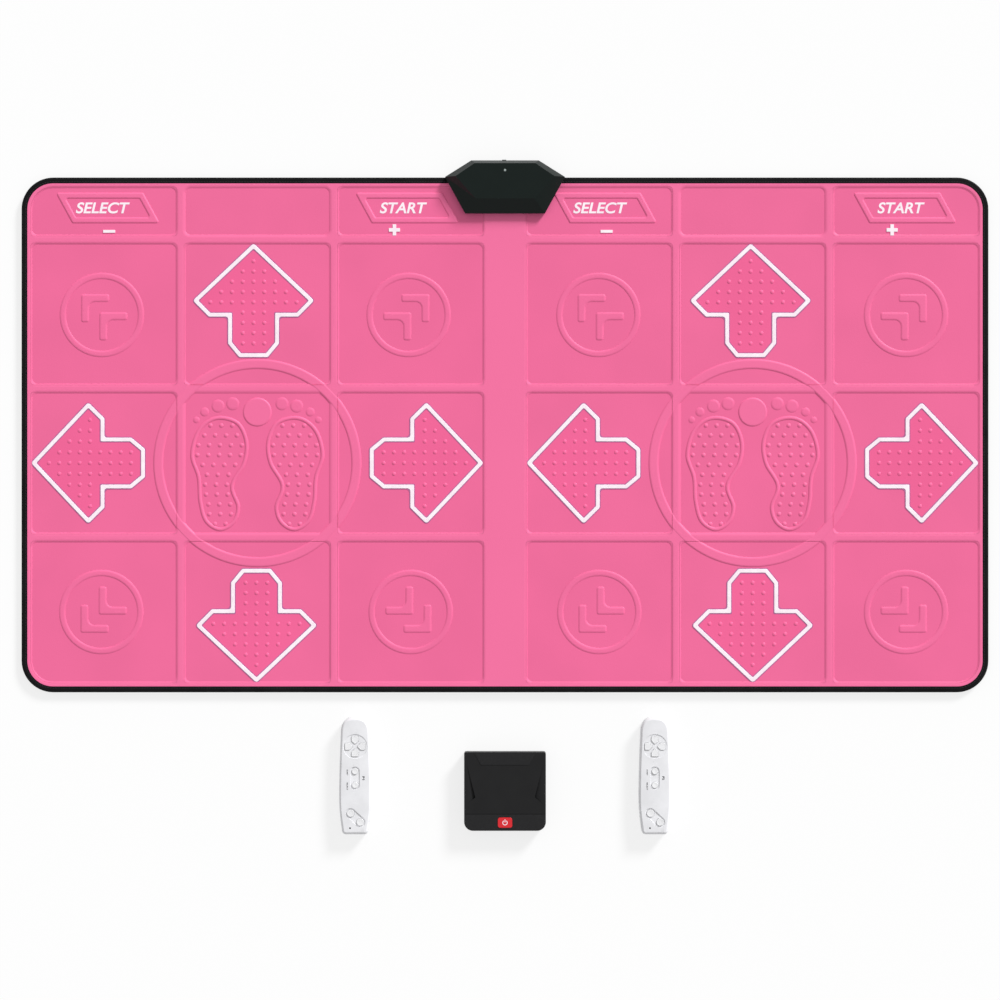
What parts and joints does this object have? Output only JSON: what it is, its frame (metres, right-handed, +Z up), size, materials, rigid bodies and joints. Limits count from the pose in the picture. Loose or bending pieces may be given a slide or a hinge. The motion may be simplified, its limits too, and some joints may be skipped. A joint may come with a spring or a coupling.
{
  "type": "dance mat controller",
  "caption": "Padded dance mat with sinking step zones in a bound skin, a wireless receiver on its back edge, slim handsets with keys and battery doors, and a small console.",
  "frame": {"origin": "centre of the mat's underside, on the floor", "axes": "+X to the second player's side, +Y to the edge that carries the receiver, +Z up"},
  "size_m": [1.649, 1.1482, 0.037],
  "materials": {
    "pink_skin": "moulded soft vinyl, satin",
    "black_binding": "woven edge tape, matt",
    "grey_foam": "closed-cell foam, matt",
    "underside_rubber": "fine anti-slip grain, matt",
    "contact_film": "printed contact film, smooth",
    "spacer_foam": "thin spacer foam, matt",
    "black_shell": "moulded black plastic, fine grain",
    "white_shell": "moulded off-white plastic, satin",
    "white_key": "moulded key, smooth",
    "circuit_board": "green solder mask",
    "battery_jacket": "printed metal jacket, plain",
    "red_badge": "moulded red key, glossy"
  },
  "bodies": {
    "mat": {"base_sheet": "underside_rubber", "foam_core": "grey_foam", "contact_film": "contact_film", "spacer_sheet": "spacer_foam", "top_skin": "pink_skin", "edge_binding": "black_binding", "receiver_base": "black_shell", "receiver_cover": "black_shell", "receiver_board": "circuit_board", "receiver_batteries": "battery_jacket"},
    "handset_1": {"handset_1_upper_shell": "white_shell", "handset_1_lower_shell": "white_shell", "handset_1_circuit_board": "circuit_board"},
    "handset_2": {"handset_2_upper_shell": "white_shell", "handset_2_lower_shell": "white_shell", "handset_2_circuit_board": "circuit_board"},
    "console": {"console_upper_shell": "black_shell", "console_lower_shell": "black_shell", "console_board": "circuit_board"},
    "p1_up_pad": {"p1_up_pad": "pink_skin"},
    "p1_down_pad": {"p1_down_pad": "pink_skin"},
    "p1_left_pad": {"p1_left_pad": "pink_skin"},
    "p1_right_pad": {"p1_right_pad": "pink_skin"},
    "p1_upper_left_pad": {"p1_upper_left_pad": "pink_skin"},
    "p1_upper_right_pad": {"p1_upper_right_pad": "pink_skin"},
    "p1_lower_left_pad": {"p1_lower_left_pad": "pink_skin"},
    "p1_lower_right_pad": {"p1_lower_right_pad": "pink_skin"},
    "p1_select_pad": {"p1_select_pad": "pink_skin"},
    "p1_start_pad": {"p1_start_pad": "pink_skin"},
    "p2_up_pad": {"p2_up_pad": "pink_skin"},
    "p2_down_pad": {"p2_down_pad": "pink_skin"},
    "p2_left_pad": {"p2_left_pad": "pink_skin"},
    "p2_right_pad": {"p2_right_pad": "pink_skin"},
    "p2_upper_left_pad": {"p2_upper_left_pad": "pink_skin"},
    "p2_upper_right_pad": {"p2_upper_right_pad": "pink_skin"},
    "p2_lower_left_pad": {"p2_lower_left_pad": "pink_skin"},
    "p2_lower_right_pad": {"p2_lower_right_pad": "pink_skin"},
    "p2_select_pad": {"p2_select_pad": "pink_skin"},
    "p2_start_pad": {"p2_start_pad": "pink_skin"},
    "receiver_battery_door": {"receiver_battery_door": "black_shell"},
    "receiver_power_switch": {"receiver_power_switch": "black_shell"},
    "handset_1_battery_door": {"handset_1_battery_door": "white_shell"},
    "handset_1_key_up": {"handset_1_key_up": "white_key"},
    "handset_1_key_left": {"handset_1_key_left": "white_key"},
    "handset_1_key_down": {"handset_1_key_down": "white_key"},
    "handset_1_key_right": {"handset_1_key_right": "white_key"},
    "handset_1_key_start": {"handset_1_key_start": "white_key"},
    "handset_1_key_select": {"handset_1_key_select": "white_key"},
    "handset_1_key_a": {"handset_1_key_a": "white_key"},
    "handset_1_key_b": {"handset_1_key_b": "white_key"},
    "handset_2_battery_door": {"handset_2_battery_door": "white_shell"},
    "handset_2_key_up": {"handset_2_key_up": "white_key"},
    "handset_2_key_left": {"handset_2_key_left": "white_key"},
    "handset_2_key_down": {"handset_2_key_down": "white_key"},
    "handset_2_key_right": {"handset_2_key_right": "white_key"},
    "handset_2_key_start": {"handset_2_key_start": "white_key"},
    "handset_2_key_select": {"handset_2_key_select": "white_key"},
    "handset_2_key_a": {"handset_2_key_a": "white_key"},
    "handset_2_key_b": {"handset_2_key_b": "white_key"},
    "console_power_key": {"console_power_key": "red_badge"}
  },
  "joints": [
    {"name": "handset_1_lift", "type": "slide", "parent": "mat", "child": "handset_1", "axis": [0, 0, 1], "range_m": [0, 0.25]},
    {"name": "handset_2_lift", "type": "slide", "parent": "mat", "child": "handset_2", "axis": [0, 0, 1], "range_m": [0, 0.25]},
    {"name": "console_lift", "type": "slide", "parent": "mat", "child": "console", "axis": [0, 0, 1], "range_m": [0, 0.25]},
    {"name": "receiver_battery_door_slide", "type": "slide", "parent": "mat", "child": "receiver_battery_door", "axis": [0, 1, 0], "range_m": [0, 0.0175]},
    {"name": "handset_1_battery_door_slide", "type": "slide", "parent": "handset_1", "child": "handset_1_battery_door", "axis": [0, -1, 0], "range_m": [0, 0.088]},
    {"name": "handset_2_battery_door_slide", "type": "slide", "parent": "handset_2", "child": "handset_2_battery_door", "axis": [0, -1, 0], "range_m": [0, 0.088]},
    {"name": "receiver_power_switch_slide", "type": "slide", "parent": "mat", "child": "receiver_power_switch", "axis": [1, 0, 0], "range_m": [0, 0.003]},
    {"name": "console_power_key_press", "type": "slide", "parent": "console", "child": "console_power_key", "axis": [0, 0, -1], "range_m": [0, 0.001], "stiffness_N_per_m": 600, "springref_m": -0.0005},
    {"name": "handset_1_key_up_press", "type": "slide", "parent": "handset_1", "child": "handset_1_key_up", "axis": [0, 0, -1], "range_m": [0, 0.001], "stiffness_N_per_m": 400, "springref_m": -0.0005},
    {"name": "handset_1_key_left_press", "type": "slide", "parent": "handset_1", "child": "handset_1_key_left", "axis": [0, 0, -1], "range_m": [0, 0.001], "stiffness_N_per_m": 400, "springref_m": -0.0005},
    {"name": "handset_1_key_down_press", "type": "slide", "parent": "handset_1", "child": "handset_1_key_down", "axis": [0, 0, -1], "range_m": [0, 0.001], "stiffness_N_per_m": 400, "springref_m": -0.0005},
    {"name": "handset_1_key_right_press", "type": "slide", "parent": "handset_1", "child": "handset_1_key_right", "axis": [0, 0, -1], "range_m": [0, 0.001], "stiffness_N_per_m": 400, "springref_m": -0.0005},
    {"name": "handset_1_key_start_press", "type": "slide", "parent": "handset_1", "child": "handset_1_key_start", "axis": [0, 0, -1], "range_m": [0, 0.001], "stiffness_N_per_m": 400, "springref_m": -0.0005},
    {"name": "handset_1_key_select_press", "type": "slide", "parent": "handset_1", "child": "handset_1_key_select", "axis": [0, 0, -1], "range_m": [0, 0.001], "stiffness_N_per_m": 400, "springref_m": -0.0005},
    {"name": "handset_1_key_a_press", "type": "slide", "parent": "handset_1", "child": "handset_1_key_a", "axis": [0, 0, -1], "range_m": [0, 0.001], "stiffness_N_per_m": 400, "springref_m": -0.0005},
    {"name": "handset_1_key_b_press", "type": "slide", "parent": "handset_1", "child": "handset_1_key_b", "axis": [0, 0, -1], "range_m": [0, 0.001], "stiffness_N_per_m": 400, "springref_m": -0.0005},
    {"name": "p1_up_press", "type": "slide", "parent": "mat", "child": "p1_up_pad", "axis": [0, 0, -1], "range_m": [0, 0.0015], "stiffness_N_per_m": 4000, "springref_m": -0.001},
    {"name": "p1_down_press", "type": "slide", "parent": "mat", "child": "p1_down_pad", "axis": [0, 0, -1], "range_m": [0, 0.0015], "stiffness_N_per_m": 4000, "springref_m": -0.001},
    {"name": "p1_left_press", "type": "slide", "parent": "mat", "child": "p1_left_pad", "axis": [0, 0, -1], "range_m": [0, 0.0015], "stiffness_N_per_m": 4000, "springref_m": -0.001},
    {"name": "p1_right_press", "type": "slide", "parent": "mat", "child": "p1_right_pad", "axis": [0, 0, -1], "range_m": [0, 0.0015], "stiffness_N_per_m": 4000, "springref_m": -0.001},
    {"name": "p1_upper_left_press", "type": "slide", "parent": "mat", "child": "p1_upper_left_pad", "axis": [0, 0, -1], "range_m": [0, 0.0015], "stiffness_N_per_m": 4000, "springref_m": -0.001},
    {"name": "p1_upper_right_press", "type": "slide", "parent": "mat", "child": "p1_upper_right_pad", "axis": [0, 0, -1], "range_m": [0, 0.0015], "stiffness_N_per_m": 4000, "springref_m": -0.001},
    {"name": "p1_lower_left_press", "type": "slide", "parent": "mat", "child": "p1_lower_left_pad", "axis": [0, 0, -1], "range_m": [0, 0.0015], "stiffness_N_per_m": 4000, "springref_m": -0.001},
    {"name": "p1_lower_right_press", "type": "slide", "parent": "mat", "child": "p1_lower_right_pad", "axis": [0, 0, -1], "range_m": [0, 0.0015], "stiffness_N_per_m": 4000, "springref_m": -0.001},
    {"name": "p1_select_press", "type": "slide", "parent": "mat", "child": "p1_select_pad", "axis": [0, 0, -1], "range_m": [0, 0.0015], "stiffness_N_per_m": 4000, "springref_m": -0.001},
    {"name": "p1_start_press", "type": "slide", "parent": "mat", "child": "p1_start_pad", "axis": [0, 0, -1], "range_m": [0, 0.0015], "stiffness_N_per_m": 4000, "springref_m": -0.001},
    {"name": "handset_2_key_up_press", "type": "slide", "parent": "handset_2", "child": "handset_2_key_up", "axis": [0, 0, -1], "range_m": [0, 0.001], "stiffness_N_per_m": 400, "springref_m": -0.0005},
    {"name": "handset_2_key_left_press", "type": "slide", "parent": "handset_2", "child": "handset_2_key_left", "axis": [0, 0, -1], "range_m": [0, 0.001], "stiffness_N_per_m": 400, "springref_m": -0.0005},
    {"name": "handset_2_key_down_press", "type": "slide", "parent": "handset_2", "child": "handset_2_key_down", "axis": [0, 0, -1], "range_m": [0, 0.001], "stiffness_N_per_m": 400, "springref_m": -0.0005},
    {"name": "handset_2_key_right_press", "type": "slide", "parent": "handset_2", "child": "handset_2_key_right", "axis": [0, 0, -1], "range_m": [0, 0.001], "stiffness_N_per_m": 400, "springref_m": -0.0005},
    {"name": "handset_2_key_start_press", "type": "slide", "parent": "handset_2", "child": "handset_2_key_start", "axis": [0, 0, -1], "range_m": [0, 0.001], "stiffness_N_per_m": 400, "springref_m": -0.0005},
    {"name": "handset_2_key_select_press", "type": "slide", "parent": "handset_2", "child": "handset_2_key_select", "axis": [0, 0, -1], "range_m": [0, 0.001], "stiffness_N_per_m": 400, "springref_m": -0.0005},
    {"name": "handset_2_key_a_press", "type": "slide", "parent": "handset_2", "child": "handset_2_key_a", "axis": [0, 0, -1], "range_m": [0, 0.001], "stiffness_N_per_m": 400, "springref_m": -0.0005},
    {"name": "handset_2_key_b_press", "type": "slide", "parent": "handset_2", "child": "handset_2_key_b", "axis": [0, 0, -1], "range_m": [0, 0.001], "stiffness_N_per_m": 400, "springref_m": -0.0005},
    {"name": "p2_up_press", "type": "slide", "parent": "mat", "child": "p2_up_pad", "axis": [0, 0, -1], "range_m": [0, 0.0015], "stiffness_N_per_m": 4000, "springref_m": -0.001},
    {"name": "p2_down_press", "type": "slide", "parent": "mat", "child": "p2_down_pad", "axis": [0, 0, -1], "range_m": [0, 0.0015], "stiffness_N_per_m": 4000, "springref_m": -0.001},
    {"name": "p2_left_press", "type": "slide", "parent": "mat", "child": "p2_left_pad", "axis": [0, 0, -1], "range_m": [0, 0.0015], "stiffness_N_per_m": 4000, "springref_m": -0.001},
    {"name": "p2_right_press", "type": "slide", "parent": "mat", "child": "p2_right_pad", "axis": [0, 0, -1], "range_m": [0, 0.0015], "stiffness_N_per_m": 4000, "springref_m": -0.001},
    {"name": "p2_upper_left_press", "type": "slide", "parent": "mat", "child": "p2_upper_left_pad", "axis": [0, 0, -1], "range_m": [0, 0.0015], "stiffness_N_per_m": 4000, "springref_m": -0.001},
    {"name": "p2_upper_right_press", "type": "slide", "parent": "mat", "child": "p2_upper_right_pad", "axis": [0, 0, -1], "range_m": [0, 0.0015], "stiffness_N_per_m": 4000, "springref_m": -0.001},
    {"name": "p2_lower_left_press", "type": "slide", "parent": "mat", "child": "p2_lower_left_pad", "axis": [0, 0, -1], "range_m": [0, 0.0015], "stiffness_N_per_m": 4000, "springref_m": -0.001},
    {"name": "p2_lower_right_press", "type": "slide", "parent": "mat", "child": "p2_lower_right_pad", "axis": [0, 0, -1], "range_m": [0, 0.0015], "stiffness_N_per_m": 4000, "springref_m": -0.001},
    {"name": "p2_select_press", "type": "slide", "parent": "mat", "child": "p2_select_pad", "axis": [0, 0, -1], "range_m": [0, 0.0015], "stiffness_N_per_m": 4000, "springref_m": -0.001},
    {"name": "p2_start_press", "type": "slide", "parent": "mat", "child": "p2_start_pad", "axis": [0, 0, -1], "range_m": [0, 0.0015], "stiffness_N_per_m": 4000, "springref_m": -0.001}
  ]
}
